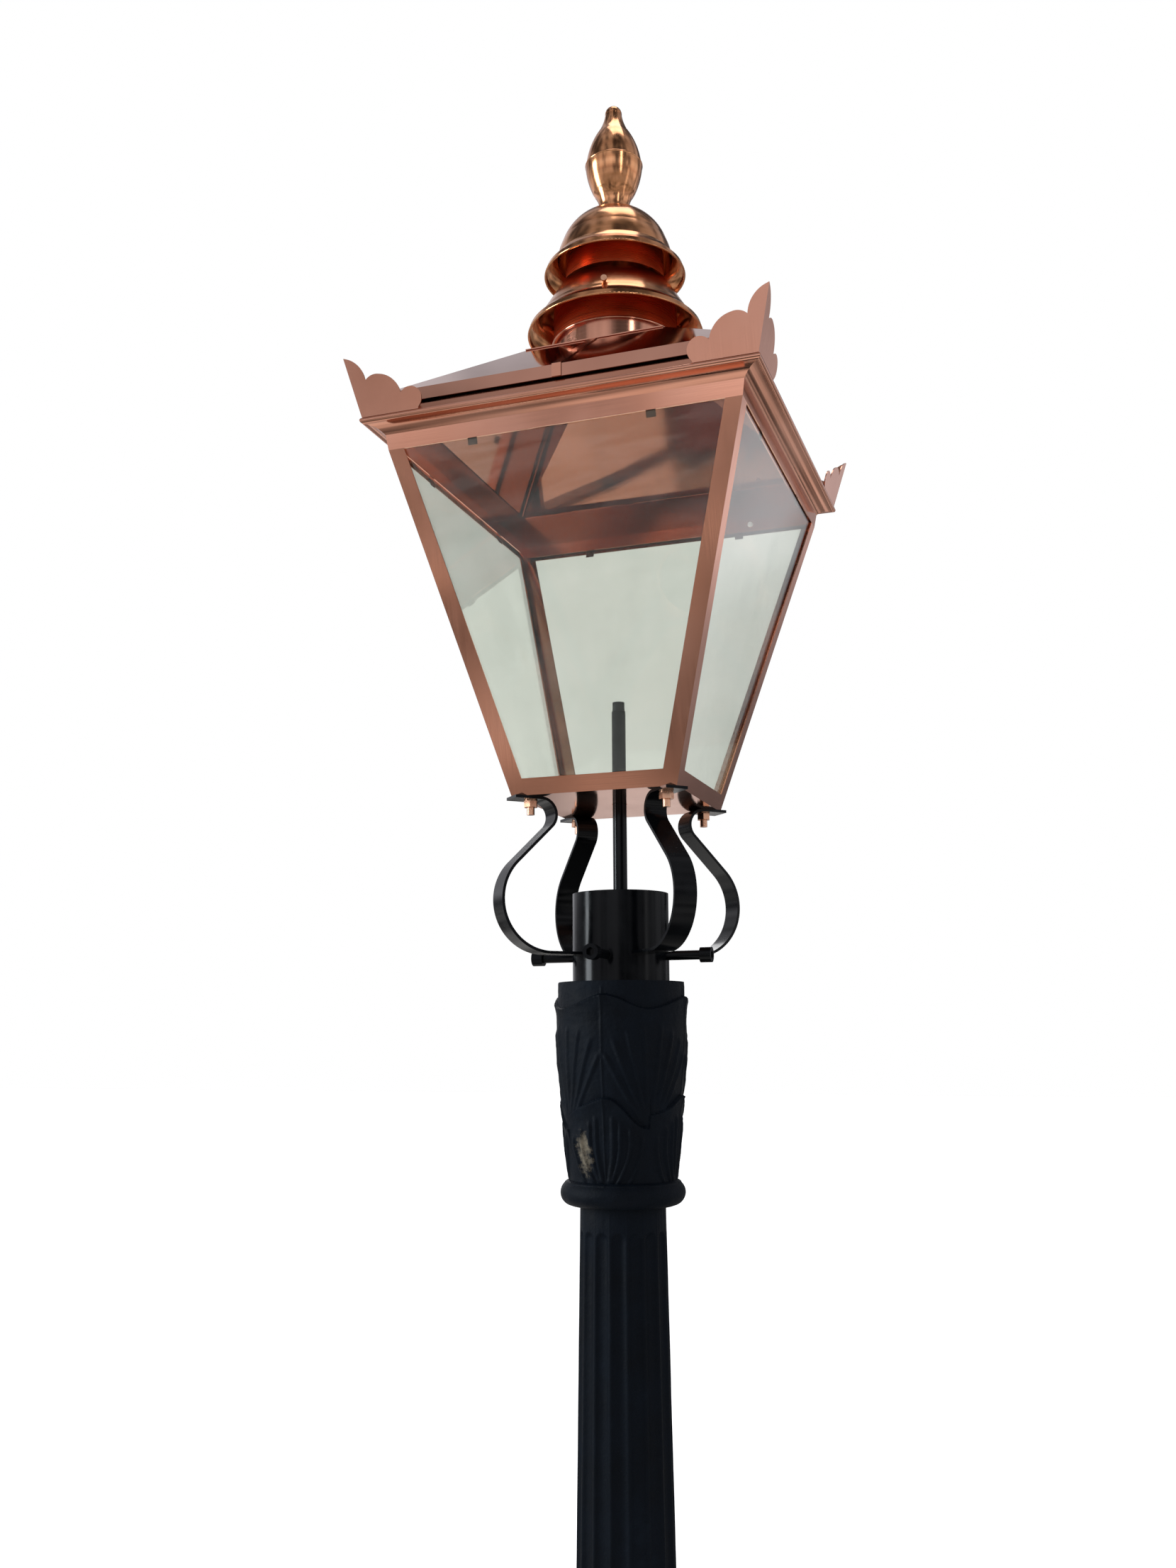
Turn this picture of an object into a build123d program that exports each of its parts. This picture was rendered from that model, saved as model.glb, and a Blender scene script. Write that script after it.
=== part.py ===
from build123d import *
from math import cos, pi, sin, sqrt
import os

# Cast-iron garden lamp post with a copper square lantern. Millimetres, +Z up,
# origin at the centre of the ground flange's underside. The lantern's front faces -Y.

# ---------------------------------------------------------------- driving dimensions
FLOOR_Z = 1870.0          # ground to the lantern's floor
FLOOR_HALF = 89.0         # lantern half width at its floor
EAVES_HALF = 188.0        # lantern half width at the top of the glazing
GLAZED_H = 355.0          # floor to the top of the glazing
SHEET = 1.2               # copper sheet
GLASS_T = 3.0
GLASS_SET = 2.0           # outer face of the frame to the pane
POST_LEG = 17.5           # width of each leg of a lantern corner post
RAIL_H = 17.0             # bottom frame height

CORNICE_HALF = 210.7      # outermost half width of the cornice bead
UPSTAND_HALF = 187.2      # outer half width of the wall that the lid closes over
UPSTAND_TOP = 413.0
SKIRT_HALF = 192.0        # outer half width of the lid's skirt
SKIRT_Z = (404.0, 417.5)
CROWN_HALF = 78.0         # half width of the roof's flat top
CROWN_Z = 501.0
SEAM_GAP = 0.1            # between the two roof halves at their lap

TUBE_R = 70.5             # lower chimney tube
VENT_R = 56.5             # upper chimney tube
NECK_Z = 695.0            # foot of the finial

COLLAR_R = 50.8           # bracket collar, 4 inch tube
COLLAR_T = 4.0
COLLAR_Z = (-189.7, -97.0)
STRAP_W = 25.0            # flat bar of the bracket's legs
STRAP_T = 3.0
STUD_R = 104.0            # radius of the circle of leg studs
CLAMP_Z = -163.0
CLAMP_REACH = 48.0

PIPE_R = 7.5
PIPE_Z = (-150.0, 102.0)
NIPPLE_R = 6.58           # quarter-inch pipe thread
NIPPLE_L = 10.0

CAPITAL_Z = (-414.5, -190.0)
SHAFT_Z = (520.0, 1455.5)
SHAFT_R_TOP = 44.0
SHAFT_TAPER = 0.0149      # radius gained per millimetre down the shaft
FLUTES = 16
FLUTE_RADIUS = 0.253      # flute section and its centre, as fractions of the shaft radius
FLUTE_CENTRE = 1.197
FLUTE_TOP = 1434.0
SPIGOT_R = 44.5           # 89 mm spigot that carries the collar
CABLE_R = 35.0            # cable way down the column

FLANGE_R = 160.0
FLANGE_T = 16.0
BOLT_R = 135.0            # radius of the ground bolts' circle
BOLT_HOLE_R = 9.0
PEDESTAL_AF = 190.0       # octagonal pedestal, across flats
PEDESTAL_Z = (52.0, 400.0)
WALL = 8.0

DOOR_W, DOOR_H, DOOR_T = 62.0, 218.0, 5.0
DOOR_Z = 215.0            # middle of the access door
DOOR_OPENING = (54.0, 210.0)
HINGE_X, HINGE_Y, HINGE_R = -35.5, -99.0, 3.5
LOCK_X = 17.0
CAM_Y = (-86.6, -83.6)     # just behind the pedestal's wall
CAM_L = 15.5

LID_HINGE = (196.5, 409.0)  # x and height of the lid's hinge pin
LID_HINGE_R = 3.2
LID_HINGE_L = 110.0
THUMB_Z = 410.0

SIDES = ("front", "right", "back", "left")
CORNERS = ("front_right", "back_right", "back_left", "front_left")

parts = {}


# ---------------------------------------------------------------- helpers
def half_width(z):
    """Outer half width of the glazed body at a height above its floor."""
    return FLOOR_HALF + (EAVES_HALF - FLOOR_HALF) * z / GLAZED_H


def cyl(radius, z0, z1, x=0.0, y=0.0):
    return Pos(x, y, z0) * Cylinder(radius, z1 - z0, align=(Align.CENTER, Align.CENTER, Align.MIN))


def box(x0, x1, y0, y1, z0, z1):
    return Pos((x0 + x1) / 2, (y0 + y1) / 2, (z0 + z1) / 2) * Box(x1 - x0, y1 - y0, z1 - z0)


def rod(radius, start, end):
    """A round bar from one point to another."""
    axis = Vector(*end) - Vector(*start)
    return Plane(origin=start, z_dir=axis) * cyl(radius, 0, axis.length)


def octagon(across_flats, z0, z1):
    radius = across_flats / 2 / cos(pi / 8)
    face = Rot(0, 0, 22.5) * RegularPolygon(radius, 8)
    return extrude(Pos(0, 0, z0) * face, z1 - z0)


def polygon(points, plane=Plane.XY):
    return make_face(plane * Polyline(*points, close=True))


def prism(points, plane, length):
    """Straight extrusion of a polygon, centred on its plane."""
    return extrude(polygon(points, plane), length / 2, both=True)


def turned(outline):
    """Solid of revolution of an outline given as (radius, z) points."""
    return revolve(polygon(outline, Plane.XZ), Axis.Z)


def sheet(line, thickness):
    """Strip of sheet in the XY plane, the line being one face of it."""
    return make_face(offset(line, thickness, side=Side.RIGHT))


def spun(line, thickness=SHEET, bead=None):
    """Spun sheet shell from its outside line in (radius, z); a bead is (radius, z, own radius)."""
    section = sheet(line, thickness)
    if bead:
        section += Pos(bead[0], bead[1]) * Circle(bead[2])
    return revolve(Plane.XZ * section, Axis.Z)


def frustum(lower, upper, z0, z1):
    """Straight-sided solid between two polygons with the same number of corners."""
    return loft([polygon(lower, Plane.XY.offset(z0)), polygon(upper, Plane.XY.offset(z1))], ruled=True)


def around(shape, step):
    return Rot(0, 0, 90 * step) * shape


def hexagon(across_flats, z0, z1, bore=0.0):
    shape = extrude(Pos(0, 0, z0) * RegularPolygon(across_flats / sqrt(3), 6), z1 - z0)
    return shape - cyl(bore, z0 - 1, z1 + 1) if bore else shape


def keep(name, shape, level=0.0):
    parts[name] = Pos(0, 0, level) * shape


# ---------------------------------------------------------------- the column
def base_casting():
    """Octagonal pedestal on a round flange, with an ogee and a ring that hold the shaft."""
    shape = cyl(FLANGE_R, 0, FLANGE_T)
    for k in range(4):
        shape -= Rot(0, 0, 45 + 90 * k) * cyl(BOLT_HOLE_R, -1, FLANGE_T + 1, x=BOLT_R)
    shape += octagon(226, FLANGE_T - 1, 38)
    for af, z0, z1 in ((214, 38, 45), (204, 45, PEDESTAL_Z[0]), (PEDESTAL_AF, *PEDESTAL_Z)):
        shape += octagon(af, z0, z1)
    for af, z0, z1 in ((200, 400, 406), (212, 406, 416), (204, 416, 424)):
        shape += octagon(af, z0, z1)
    ogee = make_face(
        Plane.XZ
        * (
            Polyline((0, 510), (0, 424), (94, 424), (94, 430))
            + Spline((94, 430), (84, 446), (72, 466), (65, 486), tangents=[(0, 1), (0, 1)])
            + Polyline((65, 486), (65, 492))
            + ThreePointArc((65, 492), (74, 501), (65, 510))
            + Line((65, 510), (0, 510))
        )
    )
    head = revolve(ogee, Axis.Z) + cyl(62, 510, SHAFT_Z[0] - 0.1)
    head -= cyl(52.2, 460, SHAFT_Z[0] + 1)
    for k in range(3):
        head -= Rot(0, 0, 30 + 120 * k) * rod(3.05, (45, 0, 515), (90, 0, 515))
    shape += head
    cavity = octagon(PEDESTAL_AF - 2 * WALL, -1, PEDESTAL_Z[1])
    shape -= cavity
    shape -= cyl(CABLE_R + 5, 390, 470)
    shape -= box(-DOOR_OPENING[0] / 2, DOOR_OPENING[0] / 2, -120, -60,
                 DOOR_Z - DOOR_OPENING[1] / 2, DOOR_Z + DOOR_OPENING[1] / 2)
    return shape


def shaft_radius(z):
    return SHAFT_R_TOP + SHAFT_TAPER * (SHAFT_Z[1] - z)


def flute_cutter():
    """Long cone whose side sinks one flute into the shaft, in step with the shaft's taper."""
    circles = []
    for z in (SHAFT_Z[0] + 14, FLUTE_TOP):
        radius = shaft_radius(z)
        circles.append(Pos(FLUTE_CENTRE * radius, 0, z) * Circle(FLUTE_RADIUS * radius))
    return loft(circles, ruled=True)


def fluted_shaft():
    """Tapered hollow casting; plain spigots at both ends enter its neighbours."""
    foot, top = SHAFT_Z
    shape = turned([(0, foot), (shaft_radius(foot), foot), (shaft_radius(top), top), (0, top)])
    for k in range(FLUTES):
        shape -= Rot(0, 0, 360 / FLUTES * (k + 0.5)) * flute_cutter()
    shape += cyl(52, foot - 55, foot)
    shape += cyl(40, top, top + 60)
    return shape - cyl(CABLE_R, foot - 60, top + 70)


def shaft_set_screws():
    screw = rod(3, (52.1, 0, 515), (61.5, 0, 515)) - rod(1.7, (58, 0, 515), (62, 0, 515))
    return Compound([Rot(0, 0, 30 + 120 * k) * screw for k in range(3)])


def capital():
    """Two tiers of leaves above a ring; the leaves' outline is turned, with two proud lips."""
    outline = [
        (0, -190), (66, -190), (66.5, -203), (69.5, -210), (69.5, -216), (67, -222), (67.2, -245),
        (65.8, -272), (62.8, -298), (61.6, -306), (61.8, -322), (59.6, -330), (58.8, -346),
        (56.6, -366), (54, -384), (54, -389.5),
    ]
    ring = ThreePointArc((54, -389.5), (64.2, -402), (54, -414.5))
    edges = Polyline(*outline) + ring + Polyline((54, -414.5), (0, -414.5), (0, -190))
    shape = revolve(make_face(Plane.XZ * edges), Axis.Z)
    shape -= cyl(SPIGOT_R + 0.1, -290, -180)
    shape -= cyl(CABLE_R + 3, -300, -280)
    return shape - cyl(40.1, -420, -354.4) - cyl(CABLE_R, -360, -290)


# ---------------------------------------------------------------- the access door
def hinge_barrels(lower):
    """The door's two hinges: the lower half of each belongs to the pedestal, the upper to the door."""
    shape = None
    for z in (DOOR_Z - 75, DOOR_Z + 75):
        z0, z1 = (z - 15, z - 0.2) if lower else (z + 0.2, z + 15)
        barrel = cyl(HINGE_R, z0, z1, HINGE_X, HINGE_Y)
        if lower:
            leaf = box(HINGE_X - 3.4, HINGE_X - 0.4, HINGE_Y, -95, z0, z1)
        else:
            leaf = box(HINGE_X, HINGE_X + 20, -101.8, -100.3, z0, z1)
        piece = barrel + leaf - cyl(1.8, z0 - 1, z1 + 1, HINGE_X, HINGE_Y)
        shape = piece if shape is None else shape + piece
    return shape


def access_door():
    plate = Pos(0, -100.3 + DOOR_T / 2, DOOR_Z) * Rot(90, 0, 0) * extrude(
        RectangleRounded(DOOR_W, DOOR_H, 5), DOOR_T / 2, both=True)
    panel = Pos(0, -101.3, DOOR_Z) * Rot(90, 0, 0) * extrude(
        RectangleRounded(DOOR_W - 18, DOOR_H - 22, 3), 1.0, both=True)
    shape = plate + panel + hinge_barrels(lower=False)
    return shape - rod(4.1, (LOCK_X, -110, DOOR_Z), (LOCK_X, -80, DOOR_Z))


def lock_spindle():
    """Round spindle with a three-cornered head for the service key."""
    shape = rod(4, (LOCK_X, -103, DOOR_Z), (LOCK_X, -82, DOOR_Z))
    shape += rod(6.5, (LOCK_X, -104, DOOR_Z), (LOCK_X, -102.4, DOOR_Z))
    head = extrude(Plane(origin=(LOCK_X, -104, DOOR_Z), z_dir=(0, -1, 0)) * RegularPolygon(4.5, 3), 4)
    return shape + head


def lock_cam():
    """The flat cam behind the door; it stands upright when unlocked."""
    cam = box(LOCK_X - 4, LOCK_X + 4, *CAM_Y, DOOR_Z, DOOR_Z + CAM_L)
    cam += rod(7, (LOCK_X, CAM_Y[0], DOOR_Z), (LOCK_X, CAM_Y[1], DOOR_Z))
    return cam - rod(4, (LOCK_X, -110, DOOR_Z), (LOCK_X, -80, DOOR_Z))


# ---------------------------------------------------------------- the bracket
def collar():
    shape = cyl(COLLAR_R, *COLLAR_Z) - cyl(COLLAR_R - COLLAR_T, COLLAR_Z[0] - 1, COLLAR_Z[1] + 1)
    for k in range(4):
        shape -= around(rod(5, (40, 0, CLAMP_Z), (60, 0, CLAMP_Z)), k)
    return shape


def leg():
    """S-shaped flat bar: a tab under the lantern, a curl in, a 45 degree run and a curl out."""
    half, small, large = STRAP_T / 2, 17.0, 54.0
    upper = Vector(STUD_R - 7, -half - small)
    lower_x = 139.0 - large
    lower = Vector(lower_x, upper.Y - (lower_x - upper.X + sqrt(2) * (small + large)))
    slant = Vector(sqrt(0.5), sqrt(0.5))

    def edge(side):
        a, b, drop = small - side * half, large + side * half, Vector(0, -side * half)
        start = Vector(126, -half) + drop
        end = Vector(COLLAR_R - 1, lower.Y - large) + drop
        first, second = Vector(upper.X, start.Y), Vector(lower.X, end.Y)
        line = Line(start, first)
        line += ThreePointArc(first, upper - Vector(a, 0), upper - slant * a)
        line += Line(upper - slant * a, lower + slant * b)
        line += ThreePointArc(lower + slant * b, lower + Vector(b, 0), second)
        line += Line(second, end)
        return line, start, end

    (left, left_start, left_end), (right, right_start, right_end) = edge(1), edge(-1)
    face = make_face(left + Line(left_end, right_end) + right + Line(right_start, left_start))
    bar = extrude(Plane.XZ * face, STRAP_W / 2, both=True)
    bar -= cyl(COLLAR_R, -200, 0) + cyl(4.3, -20, 5, x=STUD_R)
    return Rot(0, 0, -45) * bar


def clamp_screw():
    """Socket-headed screw through the collar, its tip just clear of the spigot."""
    end = COLLAR_R + CLAMP_REACH
    screw = rod(4.95, (SPIGOT_R + 0.3, 0, CLAMP_Z), (end - 12, 0, CLAMP_Z))
    screw += rod(8, (end - 12, 0, CLAMP_Z), (end, 0, CLAMP_Z))
    socket = extrude(Plane(origin=(end, 0, CLAMP_Z), z_dir=(-1, 0, 0)) * RegularPolygon(4.6, 6), 6)
    return screw - socket


def leg_stud():
    """Round-headed stud from inside the lantern down through a leg's tab."""
    return cyl(4, -18.5, SHEET, x=STUD_R) + cyl(6, SHEET, SHEET + 4, x=STUD_R)


def leg_nut():
    return Pos(STUD_R, 0, 0) * (hexagon(13, -10.6, -3.9, 4.02) + (cyl(7, -3.9, -3) - cyl(4.02, -4, -2.9)))


def pipe_bridge():
    """Bar welded across the collar, with the pipe through its middle."""
    bar = box(-50, 50, -12, 12, -108, -103) & cyl(COLLAR_R - COLLAR_T, -120, -90)
    return bar - cyl(PIPE_R + 0.1, -120, -90)


# ---------------------------------------------------------------- the lantern body
def bottom_frame():
    """Four leaning strips joined by a flat flange that carries the glass."""
    inner, outer = FLOOR_HALF - 8, FLOOR_HALF - 1.8
    flange = box(-outer, outer, -outer, outer, 1.3, 2.5) - box(-inner, inner, -inner, inner, 0, 4)
    for x in (-1, 1):
        for y in (-1, 1):
            corner = Pos(x * (FLOOR_HALF + 4.3), y * (FLOOR_HALF + 4.3), 2) * Box(20, 20, 4)
            flange -= corner
    shape = flange
    for k in range(4):
        outlines = []
        for z in (0, RAIL_H):
            a = half_width(z)
            w = a - POST_LEG - 0.05
            outlines.append([(-w, -a), (w, -a), (w, -a + 1.5), (-w, -a + 1.5)])
        strip = frustum(*outlines, 0, RAIL_H)
        w = FLOOR_HALF - POST_LEG - 0.05
        shape += around(strip + box(-w, w, -FLOOR_HALF + 1.1, -outer + 1, 1.3, 2.5), k)
    return shape


def corner_post():
    """Angle strip with a small square core that spaces the two panes, front right corner."""
    legs, cores = [], []
    for z in (0, GLAZED_H):
        a, w, t, c = half_width(z), POST_LEG, 1.5, 5.5
        legs.append([(a, -a), (a - w, -a), (a - w, -a + t), (a - t, -a + t), (a - t, -a + w), (a, -a + w)])
    for z in (2.6, GLAZED_H):
        a = half_width(z)
        cores.append([(a - 1.4, 1.4 - a), (a - 5.5, 1.4 - a), (a - 5.5, 5.5 - a), (a - 1.4, 5.5 - a)])
    return frustum(*legs, 0, GLAZED_H) + frustum(*cores, 2.6, GLAZED_H)


def mitre_wedge(reach=260.0):
    return prism([(0, 0), (-reach, -reach), (reach, -reach)], Plane.XY.offset(400), 400)


def top_rail():
    """Flat band, cove and rolled bead, with a channel behind for the top of the glass."""
    profile = Line((-188.0, 355), (-190.6, 371)) + ThreePointArc((-190.6, 371), (-196.5, 376.4), (-207, 379))
    face = make_face(offset(profile, SHEET, side=Side.RIGHT))
    face += Pos(-CORNICE_HALF + 3.2, 382.2) * Circle(3.2)
    face += Pos(-184.9, 371.6) * Rectangle(10.4, SHEET)
    face += Pos(-179.7, 365.2) * Rectangle(SHEET, 14)
    return extrude(Plane.YZ * face, CORNICE_HALF + 5, both=True) & mitre_wedge()


def square_ring(outer, inner, z0, z1):
    return box(-outer, outer, -outer, outer, z0, z1) - box(-inner, inner, -inner, inner, z0 - 1, z1 + 1)


def lid_upstand():
    """Folded wall inside the lid's skirt, with the gutter's floor around it."""
    shape = square_ring(UPSTAND_HALF, UPSTAND_HALF - SHEET, 372.3, UPSTAND_TOP)
    return shape + square_ring(CORNICE_HALF - 6.5, UPSTAND_HALF - 0.2, 382.4, 383.6)


def ear():
    """Two scalloped wings that meet at the front right corner and lean out."""
    base = 385.45

    def at(x, z):
        return Vector(x, -ear_half(z), z)

    top, foot = 446.0, at(ear_half(base), base)
    edges = [
        Line(at(144.5, base), at(144.0, 387.5)),
        ThreePointArc(at(144.0, 387.5), at(143.6, 405.2), at(162.3, 403.8)),
        ThreePointArc(at(162.3, 403.8), at(171.0, 419.0), at(185.5, 425.6)),
        ThreePointArc(at(185.5, 425.6), at(193.5, 425.6), at(201.0, 421.5)),
        ThreePointArc(at(201.0, 421.5), at(208.5, 437.5), at(ear_half(top), top)),
        Line(at(ear_half(top), top), foot),
        Line(foot, at(144.5, base)),
    ]
    wing = extrude(make_face(edges), SHEET, dir=(0, 1, 0))
    return wing + mirror(wing, Plane(origin=(0, 0, 0), z_dir=(1, 1, 0)))


def ear_half(z):
    return 208.5 + 0.25 * (z - 384)


def glass_pane():
    outlines, heights = [], (2.7, GLAZED_H + 5)
    for z in heights:
        a = half_width(z)
        w, near = a - 6.2, GLASS_SET
        outlines.append([(-w, near - a), (w, near - a), (w, near + GLASS_T - a), (-w, near + GLASS_T - a)])
    return frustum(*outlines, *heights)


def glazing_clip(x):
    """Small strip that presses the pane against its channel."""
    outlines, heights = [], (350, GLAZED_H + 2.9)
    for z in heights:
        d = half_width(z) - GLASS_SET - GLASS_T - 0.1
        outlines.append([(x - 5, -d), (x + 5, -d), (x + 5, 0.8 - d), (x - 5, 0.8 - d)])
    return frustum(*outlines, *heights)


# ---------------------------------------------------------------- the lid
def roof_shell():
    """Skirt and four sloping panels folded from sheet."""
    outlines = [[(-h, -h), (h, -h), (h, h), (-h, h)] for h in (SKIRT_HALF, CROWN_HALF)]
    heights = SKIRT_Z[1], CROWN_Z
    outer = frustum(*outlines, *heights)
    shell = outer - Pos(0, 0, -1.5) * outer - box(-72, 72, -72, 72, 480, 520)
    return shell + square_ring(SKIRT_HALF, SKIRT_HALF - SHEET, *SKIRT_Z)


def roof_half(side):
    half = box(0, side * 250, -250, 250, 380, 520) if side > 0 else box(-250, 0, -250, 250, 380, 520)
    shape = roof_shell() & half
    shape -= box(-SEAM_GAP / 2, SEAM_GAP / 2, -250, 250, 380, 520)
    if side < 0:
        shape -= rod(2.6, (-200, 0, THUMB_Z), (-180, 0, THUMB_Z))
    return shape


def seam_strip():
    """Cover strip over the joint of the roof halves: up the skirt, then up the panel."""
    run, rise = SKIRT_HALF - CROWN_HALF - 3, CROWN_Z - SKIRT_Z[1]
    top = SKIRT_Z[1] + rise * run / (SKIRT_HALF - CROWN_HALF)
    outline = [
        (-SKIRT_HALF, SKIRT_Z[0]), (-SKIRT_HALF, SKIRT_Z[1]), (-SKIRT_HALF + run, top),
        (-SKIRT_HALF + run, top + 1.4), (-SKIRT_HALF - 1.2, SKIRT_Z[1] + 0.6),
        (-SKIRT_HALF - 1.2, SKIRT_Z[0]),
    ]
    return prism(outline, Plane.YZ, 10)


def roof_crown():
    """Flat square plate with an upright collar that holds the chimney tube."""
    shape = box(-79, 79, -79, 79, CROWN_Z, CROWN_Z + SHEET) - cyl(TUBE_R + 0.1, 480, 520)
    line = Polyline((TUBE_R + 1.3, 529), (TUBE_R + 1.3, CROWN_Z + 0.5))
    return shape + spun(line, bead=(TUBE_R + 1.3, 528, 1.15))


def tube(radius, z0, z1, thickness=SHEET):
    return cyl(radius, z0, z1) - cyl(radius - thickness, z0 - 1, z1 + 1)


def stay_holes(radius):
    holes = [Rot(0, 0, angle) * rod(radius, (60, 0, 566), (100, 0, 566)) for angle in (-80, 40, 160)]
    return holes[0] + holes[1] + holes[2]


def chimney_tube():
    return tube(TUBE_R, CROWN_Z - 6, 576) - stay_holes(2.1)


def lower_cowl():
    """Spun cone with a crease and a flared, turned-down rim."""
    line = Line((58.0, 603), (62, 600.5)) + Line((62, 600.5), (85.5, 561.5))
    line += ThreePointArc((85.5, 561.5), (91.2, 552.5), (98.6, 546.5)) + Line((98.6, 546.5), (100, 541))
    return spun(line, bead=(99.2, 541, 1.1)) - stay_holes(2.1)


def cowl_screws():
    """Three screws with spacer sleeves between the cowl and the chimney tube."""
    shapes = []
    for angle in (-80, 40, 160):
        screw = rod(2, (66, 0, 566), (86.5, 0, 566)) + rod(4, (TUBE_R + 0.3, 0, 566), (78.6, 0, 566))
        screw += rod(3.4, (85.8, 0, 566), (88.2, 0, 566))
        shapes.append(Rot(0, 0, angle) * screw)
    return Compound(shapes)


def cowl_bridge():
    """Strap across the upper tube that carries the finial's stud."""
    strap = box(-VENT_R + 1.3, VENT_R - 1.3, -6, 6, 634, 636)
    for side in (-1, 1):
        x = side * (VENT_R - 2.5)
        strap += box(x - 1, x + 1, -6, 6, 618, 636)
    return (strap & cyl(VENT_R - SHEET - 0.05, 600, 650)) + cyl(3, 630, 752)


def dome_cowl():
    """Spun dome with a crease and a flared rim like the lower cowl's."""
    line = ThreePointArc((17.0, 695.6), (45.5, 680), (61, 655))
    line += ThreePointArc((61, 655), (64.5, 645.5), (67, 635))
    line += ThreePointArc((67, 635), (72.3, 626.8), (79.3, 621)) + Line((79.3, 621), (81, 615.4))
    cap = cyl(19, 693.6, 694.8) - cyl(3.2, 690, 700)
    return spun(line, bead=(80.2, 615.4, 1.1)) + cap


def finial_lower():
    line = ThreePointArc((33.2, 755.5), (30.8, 741), (24, 722))
    line += ThreePointArc((24, 722), (18.3, 710), (17.5, 696.2))
    return spun(line, 1.0, bead=(32.2, 756.6, 1.5))


def finial_upper():
    line = ThreePointArc((9.8, 823), (12.8, 811), (19.8, 797))
    line += ThreePointArc((19.8, 797), (28.6, 777), (32.4, 758.4))
    tip = ThreePointArc((9.8, 823), (7.6, 830.6), (0, 834))
    tip += Polyline((0, 834), (0, 822.8), (9.8, 822.8), (9.8, 823))
    return spun(line, 1.0) + revolve(Plane.XZ * make_face(tip), Axis.Z)


# ---------------------------------------------------------------- lid hinge and catch
def lid_hinge_leaf(moving):
    """Fixed: a leaf on the upstand with the middle knuckle. Moving: a leaf on the skirt, two knuckles."""
    x, z, r, half = *LID_HINGE, LID_HINGE_R, LID_HINGE_L / 2
    if moving:
        shape = box(SKIRT_HALF, SKIRT_HALF + 1, -half, half, 405, 416.5)
        spans = ((-half, -18.3), (18.3, half))
        for y0, y1 in spans:
            shape += rod(r, (x, y0, z), (x, y1, z)) + box(SKIRT_HALF + 0.2, x, y0, y1, z + 1.9, z + 3.1)
    else:
        shape = box(UPSTAND_HALF, UPSTAND_HALF + SHEET, -half, half, 386, 401.2)
        shape += box(UPSTAND_HALF + 0.2, x + 0.6, -18, 18, 400, 401.2)
        shape += box(x - 0.6, x + 0.6, -18, 18, 400, z - 2.6) + rod(r, (x, -18, z), (x, 18, z))
    return shape - rod(1.7, (x, -80, z), (x, 80, z))


def thumb_screw():
    """Wing screw that bears on the upstand and keeps the lid shut."""
    shape = rod(2.5, (-UPSTAND_HALF - 0.35, 0, THUMB_Z), (-206, 0, THUMB_Z))
    shape += rod(4, (-199, 0, THUMB_Z), (-208, 0, THUMB_Z))
    for side in (-1, 1):
        wing = extrude(Ellipse(4.5, 6.5), 1.1, both=True)
        shape += Pos(-206.5, side * 8, THUMB_Z) * Rot(0, 0, side * 20) * wing
    return shape


def thumb_screw_nut():
    return rod(6, (-SKIRT_HALF, 0, THUMB_Z), (-SKIRT_HALF - 4, 0, THUMB_Z)) - rod(
        2.6, (-180, 0, THUMB_Z), (-210, 0, THUMB_Z))


# ---------------------------------------------------------------- assembly
keep("base_casting", base_casting())
keep("fluted_shaft", fluted_shaft())
keep("shaft_set_screws", shaft_set_screws())
keep("capital", capital(), FLOOR_Z)
keep("post_spigot", tube(SPIGOT_R, -289.9, -112, 4.5), FLOOR_Z)
keep("door_hinge_knuckles", hinge_barrels(lower=True))
keep("door_hinge_pins", Compound([
    cyl(1.7, z - 15, z + 15, HINGE_X, HINGE_Y) for z in (DOOR_Z - 75, DOOR_Z + 75)]))
keep("access_door", access_door())
keep("lock_spindle", lock_spindle())
keep("lock_cam", lock_cam())

keep("collar", collar(), FLOOR_Z)
for k, corner in enumerate(CORNERS):
    keep(f"leg_{corner}", around(leg(), k), FLOOR_Z)
    keep(f"corner_post_{corner}", around(corner_post(), k), FLOOR_Z)
    keep(f"ear_{corner}", around(ear(), k), FLOOR_Z)
keep("clamp_screws", Compound([around(clamp_screw(), k) for k in range(4)]), FLOOR_Z)
keep("leg_studs", Compound([around(Rot(0, 0, 45) * leg_stud(), k) for k in range(4)]), FLOOR_Z)
keep("leg_nuts", Compound([around(Rot(0, 0, 45) * leg_nut(), k) for k in range(4)]), FLOOR_Z)
keep("pipe_bridge", pipe_bridge(), FLOOR_Z)
keep("pipe", tube(PIPE_R, *PIPE_Z, 2.0), FLOOR_Z)
keep("pipe_nipple", tube(NIPPLE_R, PIPE_Z[1], PIPE_Z[1] + NIPPLE_L, 1.6), FLOOR_Z)
keep("pipe_locknuts", Compound([hexagon(24, z, z + 5, PIPE_R + 0.05) for z in (-103, -113)]), FLOOR_Z)

floor_plate = box(-87.4, 87.4, -87.4, 87.4, 0, SHEET) - cyl(PIPE_R + 0.8, -1, 3)
for k in range(4):
    floor_plate -= around(Rot(0, 0, 45) * cyl(4.1, -1, 3, x=STUD_R), k)
keep("floor_plate", floor_plate, FLOOR_Z)
keep("bottom_frame", bottom_frame(), FLOOR_Z)
for k, side in enumerate(SIDES):
    keep(f"top_rail_{side}", around(top_rail(), k), FLOOR_Z)
    keep(f"glass_{side}", around(glass_pane(), k), FLOOR_Z)
keep("glazing_clips", Compound([around(glazing_clip(x), k) for k in range(4) for x in (-95, 95)]), FLOOR_Z)
keep("lid_upstand", lid_upstand(), FLOOR_Z)
keep("bump_stop", Pos(110, 178.3, 366) * Rot(90, 0, 0) * Cone(3.4, 2.4, 3, align=(
    Align.CENTER, Align.CENTER, Align.MIN)), FLOOR_Z)
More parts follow.
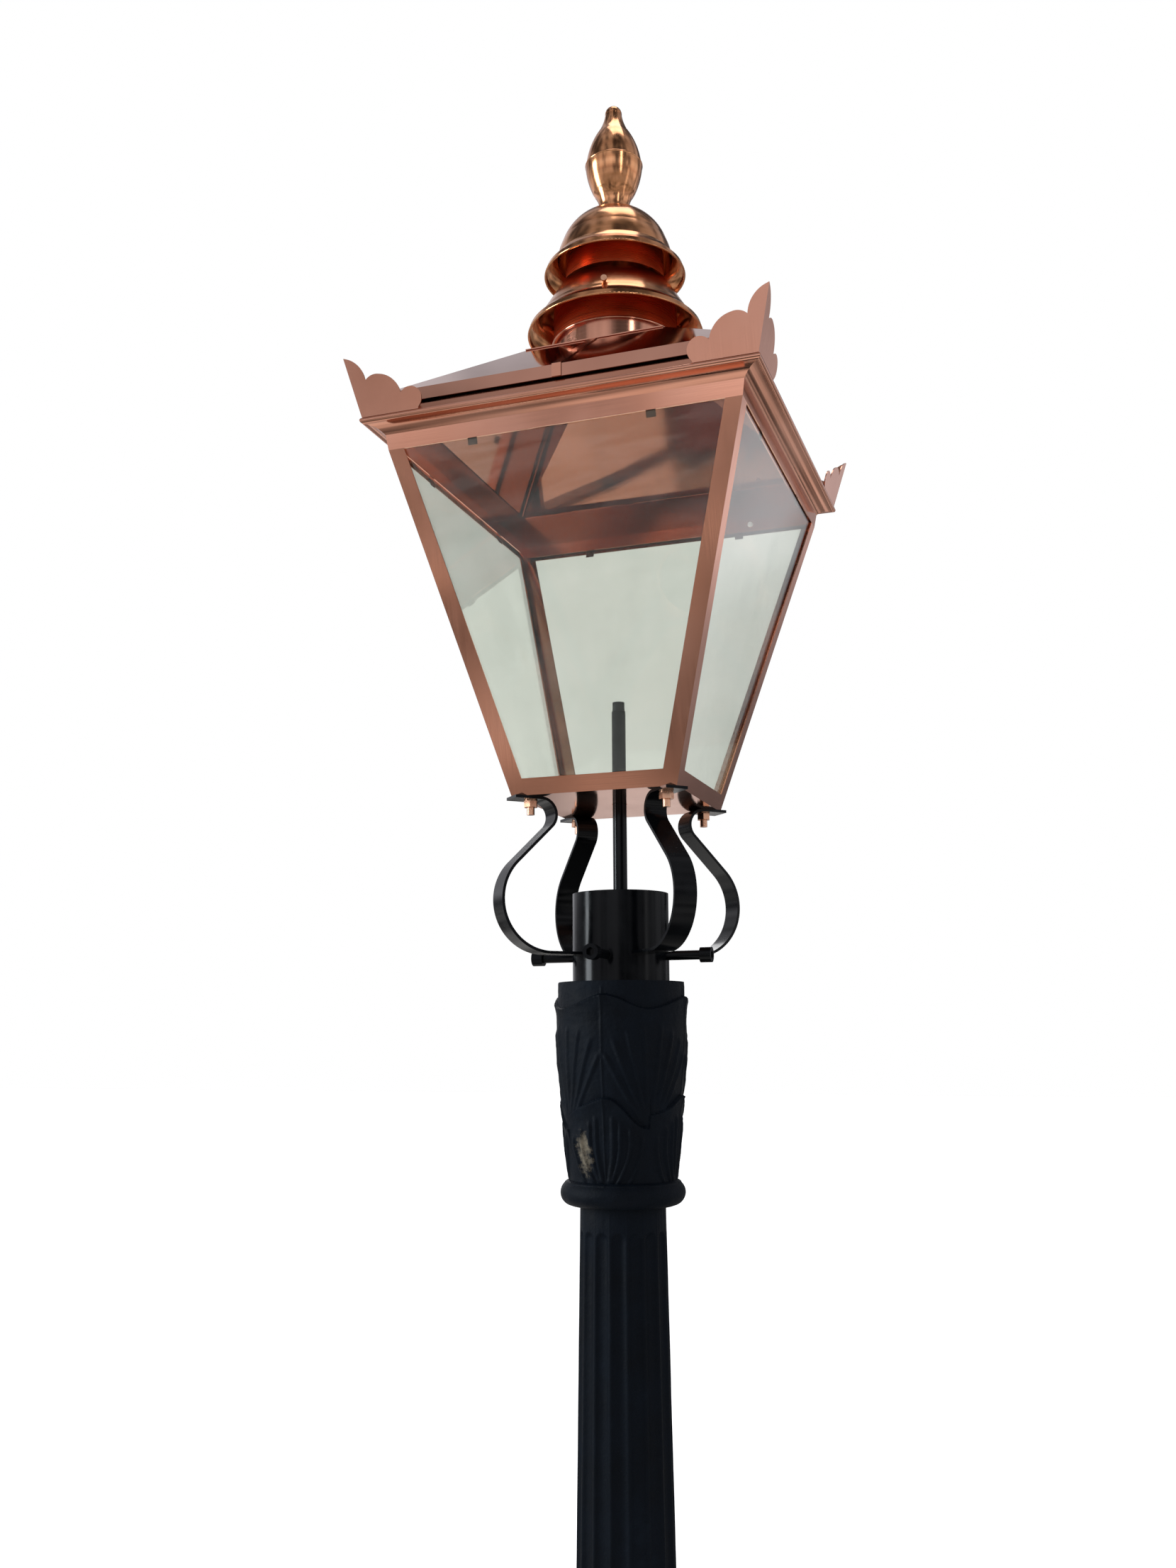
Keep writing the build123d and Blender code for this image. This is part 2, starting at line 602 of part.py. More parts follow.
keep("lid_hinge_fixed_leaf", lid_hinge_leaf(moving=False), FLOOR_Z)
keep("lid_hinge_pin", rod(1.6, (LID_HINGE[0], -59, LID_HINGE[1]), (LID_HINGE[0], 59, LID_HINGE[1])), FLOOR_Z)

keep("lid_hinge_moving_leaf", lid_hinge_leaf(moving=True), FLOOR_Z)
keep("roof_right_half", roof_half(1), FLOOR_Z)
keep("roof_left_half", roof_half(-1), FLOOR_Z)
keep("roof_seam_strips", Compound([around(seam_strip(), k) for k in (0, 2)]), FLOOR_Z)
keep("roof_crown", roof_crown(), FLOOR_Z)
keep("chimney_tube", chimney_tube(), FLOOR_Z)
keep("lower_cowl", lower_cowl(), FLOOR_Z)
keep("cowl_screws", cowl_screws(), FLOOR_Z)
keep("upper_tube", tube(VENT_R, 588, 640), FLOOR_Z)
keep("cowl_bridge", cowl_bridge(), FLOOR_Z)
keep("dome_cowl", dome_cowl(), FLOOR_Z)
keep("finial_lower", finial_lower(), FLOOR_Z)
keep("finial_upper", finial_upper(), FLOOR_Z)
keep("thumb_screw_nut", thumb_screw_nut(), FLOOR_Z)
keep("thumb_screw", thumb_screw(), FLOOR_Z)

os.makedirs("parts", exist_ok=True)
for name, shape in parts.items():
    export_step(shape, f"parts/{name}.step")
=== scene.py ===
from math import cos, degrees, exp, hypot, pi, radians, sin, sqrt

import bpy
from mathutils import Matrix, Vector, noise


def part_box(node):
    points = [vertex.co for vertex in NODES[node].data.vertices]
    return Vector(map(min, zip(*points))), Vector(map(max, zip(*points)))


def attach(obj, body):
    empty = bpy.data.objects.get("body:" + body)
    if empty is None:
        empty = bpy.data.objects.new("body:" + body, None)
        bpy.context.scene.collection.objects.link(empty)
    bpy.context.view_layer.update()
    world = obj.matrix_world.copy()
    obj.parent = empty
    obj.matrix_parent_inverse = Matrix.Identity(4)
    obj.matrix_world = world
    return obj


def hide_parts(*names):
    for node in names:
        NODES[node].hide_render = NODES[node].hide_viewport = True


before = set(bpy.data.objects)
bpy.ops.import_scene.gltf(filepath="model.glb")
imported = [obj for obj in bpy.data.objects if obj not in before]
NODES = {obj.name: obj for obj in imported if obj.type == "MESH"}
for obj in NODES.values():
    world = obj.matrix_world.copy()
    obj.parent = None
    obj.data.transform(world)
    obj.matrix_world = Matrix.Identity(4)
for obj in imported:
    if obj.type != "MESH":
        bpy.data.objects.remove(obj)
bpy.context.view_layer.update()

# Street lamp post: materials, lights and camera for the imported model, with finer
# pieces for the capital and the fluted shaft. Metres, +Z up, origin under the base flange.

MM = 0.001
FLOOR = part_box("floor_plate")[0][2]      # height of the lantern's floor
CHIP = (-0.0232, -0.0531, FLOOR - 0.361)   # middle of the worn patch on the capital
CORNERS = ("front_right", "back_right", "back_left", "front_left")
SIDES = ("front", "right", "back", "left")


# ---------------------------------------------------------------- node helpers
class Shader:
    """A material's node tree with one Principled shader at its end."""

    def __init__(self, name):
        self.material = bpy.data.materials.new(name)
        self.material.use_nodes = True
        self.tree = self.material.node_tree
        self.tree.nodes.clear()
        self.output = self.node("ShaderNodeOutputMaterial")
        self.surface = self.node("ShaderNodeBsdfPrincipled")
        self.link(self.surface.outputs[0], self.output.inputs["Surface"])
        self.place = self.node("ShaderNodeTexCoord").outputs["Object"]

    def node(self, kind, **values):
        made = self.tree.nodes.new(kind)
        for key, value in values.items():
            setattr(made, key, value)
        return made

    def link(self, start, end):
        self.tree.links.new(start, end)

    def set(self, **values):
        for key, value in values.items():
            self.surface.inputs[key.replace("_", " ")].default_value = value

    def stretched(self, scale):
        """Object coordinates stretched by a scale in X, Y and Z."""
        mapping = self.node("ShaderNodeMapping")
        mapping.inputs["Scale"].default_value = scale
        self.link(self.place, mapping.inputs["Vector"])
        return mapping.outputs[0]

    def facing(self, axis):
        """One component of the surface's own normal, -1 to 1."""
        split = self.node("ShaderNodeSeparateXYZ")
        self.link(self.node("ShaderNodeTexCoord").outputs["Normal"], split.inputs[0])
        return split.outputs[axis]

    def noise(self, scale, detail=3.0, roughness=0.5, where=None):
        made = self.node("ShaderNodeTexNoise")
        made.inputs["Scale"].default_value = scale
        made.inputs["Detail"].default_value = detail
        made.inputs["Roughness"].default_value = roughness
        self.link(where or self.place, made.inputs["Vector"])
        return made.outputs["Fac"]

    def ramp(self, value, *stops):
        """Colour ramp; each stop is (position, colour)."""
        made = self.node("ShaderNodeValToRGB")
        band = made.color_ramp
        while len(band.elements) < len(stops):
            band.elements.new(0.5)
        for element, (position, colour) in zip(band.elements, stops):
            element.position = position
            element.color = (*colour, 1)
        self.link(value, made.inputs["Fac"])
        return made.outputs["Color"]

    def span(self, value, low, high, new_low, new_high):
        """Maps a value from one range to another, clamped."""
        made = self.node("ShaderNodeMapRange")
        ends = {"From Min": low, "From Max": high, "To Min": new_low, "To Max": new_high}
        for key, number in ends.items():
            made.inputs[key].default_value = number
        self.link(value, made.inputs["Value"])
        return made.outputs[0]

    def math(self, operation, a, b):
        made = self.node("ShaderNodeMath", operation=operation)
        for socket, value in zip(made.inputs, (a, b)):
            if isinstance(value, (int, float)):
                socket.default_value = value
            else:
                self.link(value, socket)
        return made.outputs[0]

    def mix(self, share, a, b):
        """Mix of two colours; each a socket or a colour."""
        made = self.node("ShaderNodeMix", data_type="RGBA")
        self.link(share, made.inputs["Factor"])
        for socket, value in ((made.inputs[6], a), (made.inputs[7], b)):
            if isinstance(value, tuple):
                socket.default_value = (*value, 1)
            else:
                self.link(value, socket)
        return made.outputs[2]

    def bump(self, height, distance, strength=1.0):
        made = self.node("ShaderNodeBump")
        made.inputs["Strength"].default_value = strength
        made.inputs["Distance"].default_value = distance
        self.link(height, made.inputs["Height"])
        self.link(made.outputs[0], self.surface.inputs["Normal"])


# ---------------------------------------------------------------- materials
def brushed_copper(name, upright=False, shade=1.0):
    """Copper sheet brushed sideways, or up and down if upright, with faint cloudy tarnish; a shade below 1
    darkens the whole colour as painted shade.
    """
    shader = Shader(name)
    if upright:
        facing_y = shader.noise(1.0, 2.0, 0.6, shader.stretched((2200.0, 14.0, 9.0)))
        facing_x = shader.noise(1.0, 2.0, 0.6, shader.stretched((14.0, 2200.0, 9.0)))
        sideways = shader.math("GREATER_THAN", shader.math("ABSOLUTE", shader.facing("X"), 0.0), 0.6)
        lines = shader.mix(sideways, facing_y, facing_x)
    else:
        lines = shader.noise(1.0, 2.0, 0.6, shader.stretched((10.0, 10.0, 2200.0)))
    clouds = shader.noise(7.0, 3.0, 0.5)
    tones = ((0.25, (0.68, 0.30, 0.19)), (0.55, (0.79, 0.38, 0.26)), (0.80, (0.87, 0.46, 0.34)))
    # shade multiplies every tone; below 1 it gives a darker copy of the same copper, which is painted shade
    colour = shader.ramp(clouds, *((at, tuple(shade * part for part in tone)) for at, tone in tones))
    dark = shader.span(lines, 0.3, 0.7, 0.0, 0.12)
    shader.link(shader.mix(dark, colour, (0.50, 0.20, 0.13)), shader.surface.inputs["Base Color"])
    rough = shader.math("ADD", shader.span(clouds, 0.3, 0.7, 0.09, 0.17),
                        shader.span(lines, 0.3, 0.7, -0.03, 0.06))
    shader.link(rough, shader.surface.inputs["Roughness"])
    shader.set(Metallic=1.0)
    return shader.material


def polished_copper(name):
    """Smooth roof sheet, close to a mirror, with faint drifting haze, and painted shade on the faces that
    look down.
    """
    shader = Shader(name)
    clouds = shader.noise(6.0, 4.0, 0.6)
    colour = shader.ramp(clouds, (0.3, (0.56, 0.27, 0.19)), (0.7, (0.68, 0.36, 0.26)))
    # Painted shade: the colour turns darker where the sheet faces down, under the roof
    painted_shade_underside = shader.span(shader.facing("Z"), -0.35, 0.05, 1.0, 0.0)
    shader.link(shader.mix(painted_shade_underside, colour, (0.35, 0.135, 0.085)), shader.surface.inputs["Base Color"])
    shader.link(shader.span(clouds, 0.3, 0.75, 0.05, 0.11), shader.surface.inputs["Roughness"])
    shader.set(Metallic=1.0)
    shader.bump(shader.noise(5.0, 1.0), 0.004, 0.35)
    return shader.material


def spun_copper(name):
    """Golden-brown spun copper with fine turning lines around the vertical axis."""
    shader = Shader(name)
    lines = shader.noise(1.0, 3.0, 0.7, shader.stretched((3.0, 3.0, 1500.0)))
    bands = shader.noise(1.0, 2.0, 0.5, shader.stretched((4.0, 4.0, 90.0)))
    clouds = shader.noise(14.0, 3.0, 0.5)
    colour = shader.ramp(bands, (0.25, (0.50, 0.20, 0.09)), (0.5, (0.69, 0.32, 0.15)),
                         (0.8, (0.82, 0.42, 0.22)))
    stain = shader.span(clouds, 0.45, 0.75, 0.0, 0.35)
    shader.link(shader.mix(stain, colour, (0.42, 0.17, 0.08)), shader.surface.inputs["Base Color"])
    rough = shader.math("ADD", shader.span(clouds, 0.3, 0.7, 0.11, 0.19),
                        shader.span(lines, 0.3, 0.7, -0.03, 0.05))
    shader.link(rough, shader.surface.inputs["Roughness"])
    shader.set(Metallic=1.0)
    return shader.material


def lacquered_copper(name):
    """The chimney tubes: rolled copper under an orange-red lacquer."""
    shader = Shader(name)
    lines = shader.noise(1.0, 2.0, 0.6, shader.stretched((5.0, 5.0, 800.0)))
    clouds = shader.noise(18.0, 3.0, 0.5)
    colour = shader.ramp(clouds, (0.3, (0.55, 0.08, 0.025)), (0.7, (0.75, 0.17, 0.06)))
    shader.link(colour, shader.surface.inputs["Base Color"])
    shader.link(shader.span(lines, 0.3, 0.7, 0.24, 0.36), shader.surface.inputs["Roughness"])
    shader.set(Metallic=0.92, Coat_Weight=0.3, Coat_Roughness=0.12)
    shader.bump(lines, 0.00003, 0.4)
    return shader.material


def satin_black(name):
    """Black powder coat: slight orange peel, small rubbed patches."""
    shader = Shader(name)
    peel = shader.noise(900.0, 2.0)
    dust = shader.noise(45.0, 4.0, 0.6)
    colour = shader.ramp(dust, (0.35, (0.0010, 0.0014, 0.0022)), (0.8, (0.0035, 0.0045, 0.0060)))
    shader.link(colour, shader.surface.inputs["Base Color"])
    shader.link(shader.span(dust, 0.3, 0.75, 0.13, 0.24), shader.surface.inputs["Roughness"])
    shader.set(Specular_IOR_Level=0.16)
    shader.bump(peel, 0.00004, 0.2)
    return shader.material


def cast_paint(name, chips=False):
    """Matte blue-black paint over a sandy casting, speckled with dust, and chipped on request."""
    shader = Shader(name)
    grain = shader.noise(520.0, 4.0, 0.62)
    lumps = shader.noise(70.0, 4.0, 0.6)
    blots = shader.noise(22.0, 5.0, 0.65)
    colour = shader.ramp(blots, (0.3, (0.0016, 0.0032, 0.0060)), (0.6, (0.0034, 0.0062, 0.0110)),
                         (0.85, (0.008, 0.013, 0.021)))
    dust = shader.span(grain, 0.62, 0.80, 0.0, 0.3)
    colour = shader.mix(dust, colour, (0.026, 0.030, 0.036))
    if chips:
        colour = shader.mix(chip_mask(shader), colour, (0.24, 0.205, 0.15))
    shader.link(colour, shader.surface.inputs["Base Color"])
    shader.link(shader.span(blots, 0.3, 0.75, 0.50, 0.72), shader.surface.inputs["Roughness"])
    shader.set(Specular_IOR_Level=0.09)
    height = shader.math("ADD", shader.math("MULTIPLY", lumps, 1.4), shader.math("MULTIPLY", grain, 0.5))
    shader.bump(height, 0.0011, 0.55)
    return shader.material


def chip_mask(shader):
    """Worn patch low on the capital's left front: a tall soft blot, broken into flecks by noise."""
    offset = shader.node("ShaderNodeVectorMath", operation="SUBTRACT")
    shader.link(shader.place, offset.inputs[0])
    offset.inputs[1].default_value = CHIP
    squeezed = shader.node("ShaderNodeVectorMath", operation="MULTIPLY")
    shader.link(offset.outputs[0], squeezed.inputs[0])
    squeezed.inputs[1].default_value = (1.0, 1.0, 0.52)
    length = shader.node("ShaderNodeVectorMath", operation="LENGTH")
    shader.link(squeezed.outputs[0], length.inputs[0])
    near = shader.span(length.outputs["Value"], 0.006, 0.015, 1.0, 0.0)
    broken = shader.math("ADD", shader.noise(95.0, 5.0, 0.7), shader.math("MULTIPLY", near, 0.30))
    return shader.math("MULTIPLY", shader.span(broken, 0.62, 0.86, 0.0, 0.8),
                       shader.span(near, 0.0, 0.3, 0.0, 1.0))


def plain_metal(name, dark, light, roughness=(0.22, 0.38)):
    """Small turned or stamped fittings."""
    shader = Shader(name)
    marks = shader.noise(160.0, 3.0, 0.6)
    shader.link(shader.ramp(marks, (0.3, dark), (0.75, light)), shader.surface.inputs["Base Color"])
    shader.link(shader.span(marks, 0.3, 0.7, *roughness), shader.surface.inputs["Roughness"])
    shader.set(Metallic=1.0)
    shader.bump(marks, 0.0001, 0.3)
    return shader.material


def clear_glass(name):
    """Float glass with a slight grey-green tint and faint streaks; lets lamps through."""
    shader = Shader(name)
    smears = shader.noise(1.0, 4.0, 0.6, shader.stretched((9.0, 9.0, 3.0)))
    tint = shader.ramp(smears, (0.35, (0.74, 0.77, 0.72)), (0.75, (0.83, 0.85, 0.80)))
    shader.link(tint, shader.surface.inputs["Base Color"])
    shader.link(shader.span(smears, 0.4, 0.8, 0.0, 0.012), shader.surface.inputs["Roughness"])
    shader.set(Transmission_Weight=1.0, IOR=1.46)
    passing = shader.node("ShaderNodeBsdfTransparent")
    passing.inputs["Color"].default_value = (0.86, 0.89, 0.86, 1)
    lamps = shader.node("ShaderNodeLightPath")
    chosen = shader.node("ShaderNodeMixShader")
    shader.link(lamps.outputs["Is Shadow Ray"], chosen.inputs[0])
    shader.link(shader.surface.outputs[0], chosen.inputs[1])
    shader.link(passing.outputs[0], chosen.inputs[2])
    shader.link(chosen.outputs[0], shader.output.inputs["Surface"])
    return shader.material


def dull_plastic(name, dark, light):
    """Moulded plastic, faintly mottled."""
    shader = Shader(name)
    marks = shader.noise(90.0, 3.0)
    shader.link(shader.ramp(marks, (0.3, dark), (0.7, light)), shader.surface.inputs["Base Color"])
    shader.link(shader.span(marks, 0.3, 0.7, 0.42, 0.58), shader.surface.inputs["Roughness"])
    return shader.material


def stage_floor(name):
    """Plain and pale to the camera; in reflections it is mottled like a room's floor."""
    shader = Shader(name)
    speckle = shader.noise(2.0, 3.0)
    shader.link(shader.ramp(speckle, (0.3, (0.86, 0.86, 0.86)), (0.7, (0.88, 0.88, 0.875))),
                shader.surface.inputs["Base Color"])
    shader.set(Roughness=0.9, Specular_IOR_Level=0.1)
    pale = shader.node("ShaderNodeEmission")
    pale.inputs["Strength"].default_value = 0.92
    both = shader.node("ShaderNodeAddShader")
    shader.link(shader.surface.outputs[0], both.inputs[0])
    shader.link(pale.outputs[0], both.inputs[1])
    mottled = shader.node("ShaderNodeEmission")
    patches = shader.noise(0.45, 4.0, 0.6, shader.stretched((1.0, 0.6, 1.0)))
    glow = shader.ramp(patches, (0.38, (0.05, 0.05, 0.05)), (0.48, (0.30, 0.29, 0.28)),
                       (0.58, (1.0, 0.98, 0.96)))
    shader.link(glow, mottled.inputs["Color"])
    mottled.inputs["Strength"].default_value = 0.8
    path = shader.node("ShaderNodeLightPath")
    choice = shader.node("ShaderNodeMixShader")
    seen = shader.math("MAXIMUM", path.outputs["Is Camera Ray"], path.outputs["Is Transmission Ray"])
    shader.link(seen, choice.inputs[0])
    shader.link(mottled.outputs[0], choice.inputs[1])
    shader.link(both.outputs[0], choice.inputs[2])
    shader.link(choice.outputs[0], shader.output.inputs["Surface"])
    return shader.material


COPPER = brushed_copper("copper_brushed_sideways")
# Darker copy of the brushed copper for the lid's inner upstand: painted shade, since that wall lies in
# shade
SHADED_COPPER = brushed_copper("copper_brushed_painted_shade", shade=0.66)
UPRIGHT_COPPER = brushed_copper("copper_brushed_upright", upright=True)
ROOF = polished_copper("copper_polished")
SPUN = spun_copper("copper_spun")
TUBES = lacquered_copper("copper_lacquered")
BLACK = satin_black("black_powder_coat")
CAST = cast_paint("cast_paint")
CHIPPED = cast_paint("cast_paint_chipped", chips=True)
NUT_METAL = plain_metal("nut_copper", (0.62, 0.31, 0.19), (0.84, 0.50, 0.33))
IRON = plain_metal("black_iron", (0.012, 0.012, 0.014), (0.035, 0.035, 0.038), (0.35, 0.5))
STEEL = plain_metal("zinc_steel", (0.34, 0.34, 0.34), (0.56, 0.56, 0.55))
GLASS = clear_glass("window_glass")
DARK = plain_metal("tarnished_strip", (0.05, 0.03, 0.025), (0.13, 0.07, 0.05), (0.35, 0.5))
WHITE = dull_plastic("white_nylon", (0.70, 0.70, 0.68), (0.85, 0.85, 0.83))


def paint(material, *names):
    for name in names:
        NODES[name].data.materials.clear()
        NODES[name].data.materials.append(material)


def paint_cad():
    """Every CAD node gets its material; copper is brushed along each piece's own length."""
    for side in SIDES:
        paint(COPPER, f"top_rail_{side}")
        paint(GLASS, f"glass_{side}")
    for corner in CORNERS:
        paint(UPRIGHT_COPPER, f"corner_post_{corner}", f"ear_{corner}")
        paint(BLACK, f"leg_{corner}")
    # The upstand gets the darkened copper copy, which is painted shade
    paint(SHADED_COPPER, "lid_upstand")
    paint(COPPER, "bottom_frame", "floor_plate", "roof_seam_strips", "roof_crown",
          "lid_hinge_fixed_leaf", "lid_hinge_moving_leaf")
    paint(ROOF, "roof_right_half", "roof_left_half")
    paint(TUBES, "chimney_tube", "upper_tube")
    paint(SPUN, "lower_cowl", "dome_cowl", "finial_lower", "finial_upper")
    paint(BLACK, "collar", "clamp_screws", "pipe_bridge", "pipe")
    paint(CAST, "base_casting", "fluted_shaft", "capital", "access_door", "post_spigot")
    paint(STEEL, "shaft_set_screws", "door_hinge_knuckles", "door_hinge_pins", "lock_spindle", "lock_cam",
          "lid_hinge_pin", "cowl_bridge")
    paint(IRON, "pipe_nipple", "pipe_locknuts")
    paint(NUT_METAL, "leg_studs", "leg_nuts", "thumb_screw", "thumb_screw_nut", "cowl_screws")
    paint(DARK, "glazing_clips")
    paint(WHITE, "bump_stop")


# ---------------------------------------------------------------- mesh helpers
def add_mesh(name, points, faces, material, smooth=True):
    mesh = bpy.data.meshes.new(name)
    mesh.from_pydata(points, [], faces)
    mesh.validate()
    mesh.update()
    if smooth:
        mesh.shade_smooth()
    made = bpy.data.objects.new(name, mesh)
    bpy.context.scene.collection.objects.link(made)
    mesh.materials.append(material)
    return made


def turned(name, material, outline, around, relief=None):
    """Closed skin turned about the Z axis from a closed outline of (radius, z) in millimetres.
    relief(angle, radius, z) gives the radius added there; the angle runs from the front towards +X."""
    rows, points, faces = len(outline), [], []
    for radius, z in outline:
        for k in range(around):
            angle = 2 * pi * k / around
            r = (radius + (relief(angle, radius, z) if relief else 0.0)) * MM
            points.append((r * sin(angle), -r * cos(angle), z * MM))
    for row in range(rows):
        a, b = row * around, (row + 1) % rows * around
        for k in range(around):
            n = (k + 1) % around
            faces.append((a + k, b + k, b + n, a + n))
    made = add_mesh(name, points, faces, material)
    made.data.set_sharp_from_angle(angle=radians(38))
    return made


def steps(start, end, size):
    count = max(1, round(abs(end - start) / size))
    return [start + (end - start) * k / count for k in range(count + 1)]


def between(value, table):
    """Straight-line reading of a descending (z, radius) table."""
    for (z0, r0), (z1, r1) in zip(table, table[1:]):
        if value >= z1:
            return r0 + (r1 - r0) * (z0 - value) / (z0 - z1)
    return table[-1][1]


def ridge(distance, width):
    """Rounded bump, 1 on its line and 0 past its width."""
    t = abs(distance) / width
    return (1 - t * t) ** 2 if t < 1 else 0.0


def step_up(value, width):
    """0 below zero, 1 above the width, smooth between."""
    t = min(max(value / width, 0.0), 1.0)
    return t * t * (3 - 2 * t)


# ---------------------------------------------------------------- the column's castings
LEVEL = FLOOR / MM                       # lantern floor in millimetres
CAPITAL_TOP, CAPITAL_FOOT = LEVEL - 190.0, LEVEL - 414.5
RING_Z, RING_CENTRE, RING_R = -402.0, 51.44, 12.76
CAPITAL_BODY = ((-190, 66), (-203, 66.2), (-222, 66.6), (-245, 67.0), (-272, 65.6), (-298, 62.6),
                (-312, 61.2), (-330, 59.6), (-346, 58.8), (-366, 56.6), (-384, 54), (-415, 54))


def capital_radius(z):
    """Outline without relief, z below the lantern's floor."""
    body = between(z, CAPITAL_BODY)
    inside = RING_R ** 2 - (z - RING_Z) ** 2
    return max(body, RING_CENTRE + sqrt(inside)) if inside > 0 else body


def off_face(turn):
    """Degrees from the nearest face normal, from a turn in degrees: -45 to 45."""
    return (turn + 45) % 90 - 45


def off_corner(turn):
    return turn % 90 - 45


def upper_lip(turn):
    """Height of the upper leaves' edge: high where two leaves meet, drooping at each leaf's tip."""
    return -210.5 + 6.5 * cos(radians(4 * turn)) + 1.0 * sin(radians(7 * turn + 40))


def lower_lip(turn):
    """The lower leaves' edge peaks at the face normals and droops further to their right."""
    side = off_face(turn)
    droop = 17.0 if side < 0 else 30.0
    return -306 - droop * (1 - cos(radians(4 * side))) / 2 + 1.2 * sin(radians(9 * turn))


def upper_veins(turn, z):
    """Veins that fan from each upper leaf's stem, out and up towards its neighbours."""
    side = off_corner(turn)
    rise = (z + 338) / 74
    if rise <= 0:
        return 0.0
    height = 0.0
    for share, top in ((0.16, -232), (0.42, -236), (0.70, -244), (0.98, -258)):
        line = 43 * share * rise ** 0.75
        fade = step_up(top - z, 10) * step_up(rise, 0.25)
        height += 1.7 * fade * ridge(abs(side) - line, 3.6)
    return height


def lower_ribs(turn, z):
    """Ribs that start near each lower leaf's middle at its foot, curve outward and stand up."""
    side = off_face(turn)
    climb = min(max((z + 396) / 46, 0.0), 1.0)
    height = 0.0
    for foot, head, top in ((1.5, 8.5, -322), (3.5, 15.5, -327), (8.5, 25.5, -333), (21.0, 37.0, -341)):
        line = foot + (head - foot) * sin(climb * pi / 2)
        fade = step_up(top - z, 8) * step_up(z + 392, 6)
        height += 2.0 * fade * ridge(abs(side) - line, 3.3)
    return height


def capital_relief(angle, radius, z):
    if radius < 50:
        return 0.0
    turn, z = degrees(angle), z - LEVEL
    if z > -190.5 or z < -392:
        return 0.25 * noise.noise(Vector((radius * sin(angle), radius * cos(angle), z)) * 0.09)
    upper, lower = upper_lip(turn), lower_lip(turn)
    height = 0.0
    if z < upper:
        height += 3.9 * step_up(upper - z, 1.8) * exp(-(upper - z) / 10) + 0.7 * step_up(upper - z, 2.0)
        height += 1.6 * ridge(off_face(turn), 7) * exp(-(upper - z) / 8)
    if z < lower:
        height += 3.3 * step_up(lower - z, 1.8) * exp(-(lower - z) / 9) + 0.3
        height += 1.8 * ridge(off_face(turn), 8) * exp(-(lower - z) / 10)
        height += lower_ribs(turn, z)
    else:
        height += upper_veins(turn, z) - 0.8 * exp(-(z - lower) / 4)
    height += 0.75 * ridge(off_face(turn), 1.6) * step_up(-192 - z, 6)
    lumps = Vector((radius * sin(angle), radius * cos(angle), z))
    return height + 0.5 * noise.noise(lumps * 0.07) + 0.22 * noise.noise(lumps * 0.22)


def make_capital():
    outer = [(capital_radius(z - LEVEL), z) for z in steps(CAPITAL_TOP, CAPITAL_FOOT, 1.0)]
    outline = [(46.0, CAPITAL_TOP)] + outer + [(46.0, CAPITAL_FOOT)]
    made = turned("capital_leaves", CHIPPED, outline, 400, capital_relief)
    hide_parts("capital")
    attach(made, "post")


SHAFT_FOOT, SHAFT_TOP = 520.0, LEVEL - 414.5
SHAFT_R, SHAFT_TAPER = 44.0, 0.0149
FLUTES, RIDGE_SHARE, FLUTE_DEPTH = 16, 0.16, 3.3
FLUTE_ENDS = (SHAFT_FOOT + 14, LEVEL - 438)


def shaft_radius(z):
    return SHAFT_R + SHAFT_TAPER * (SHAFT_TOP - z)


def flute_relief(angle, radius, z):
    """Channels with round ends between narrow ridges; a ridge stands on each face normal."""
    if not (SHAFT_FOOT < z < SHAFT_TOP) or radius < 43.9:
        return 0.0
    pitch = 2 * pi / FLUTES
    across = abs((angle % pitch) / pitch - 0.5) * 2          # 0 in the channel's middle, 1 on the ridge
    half = pitch * radius / 2
    width = (1 - RIDGE_SHARE) * half
    beyond = max(0.0, FLUTE_ENDS[0] + width - z, z - FLUTE_ENDS[1] + width)
    reach = hypot(across * half, beyond) / width
    depth = FLUTE_DEPTH * (1 - reach ** 2.4) if reach < 1 else 0.0
    crown = 0.35 * max(0.0, (across - 1 + RIDGE_SHARE) / RIDGE_SHARE)
    return crown - 0.35 - depth + 0.25 * noise.noise(Vector((angle * 9, z * 0.02, 4.0)))


def make_shaft():
    low, high = FLUTE_ENDS
    heights = steps(SHAFT_FOOT, low, 7) + steps(low, low + 14, 1.2)[1:] + steps(low + 14, high - 14, 24)[1:]
    heights += steps(high - 14, high, 1.0)[1:] + steps(high, SHAFT_TOP, 6)[1:]
    outer = [(shaft_radius(z), z) for z in reversed(heights)]
    outline = [(35, SHAFT_TOP + 60), (40, SHAFT_TOP + 60), (40, SHAFT_TOP)] + outer
    outline += [(52, SHAFT_FOOT), (52, SHAFT_FOOT - 55), (35, SHAFT_FOOT - 55)]
    made = turned("shaft_fluted", CAST, outline, FLUTES * 22, flute_relief)
    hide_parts("fluted_shaft")
    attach(made, "post")


# ---------------------------------------------------------------- stage
def camera():
    """Eye and aim of the view, from the lantern's floor and the column's axis."""
    azimuth, elevation, roll = radians(-19.26), radians(10.30), radians(-0.28)
    ahead = Vector((sin(azimuth) * cos(elevation), cos(azimuth) * cos(elevation), sin(elevation)))
    right = Vector((cos(azimuth), -sin(azimuth), 0))
    up = right.cross(ahead)
    right, up = right * cos(roll) + up * sin(roll), up * cos(roll) - right * sin(roll)
    data = bpy.data.cameras.new("camera")
    data.sensor_fit = "VERTICAL"
    data.sensor_height = 36.0
    data.lens = 32.3
    made = bpy.data.objects.new("camera", data)
    bpy.context.scene.collection.objects.link(made)
    turn = Matrix((right, up, -ahead)).transposed().to_4x4()
    made.matrix_world = Matrix.Translation((0.4603, -1.4201, FLOOR - 0.2489)) @ turn
    bpy.context.scene.camera = made


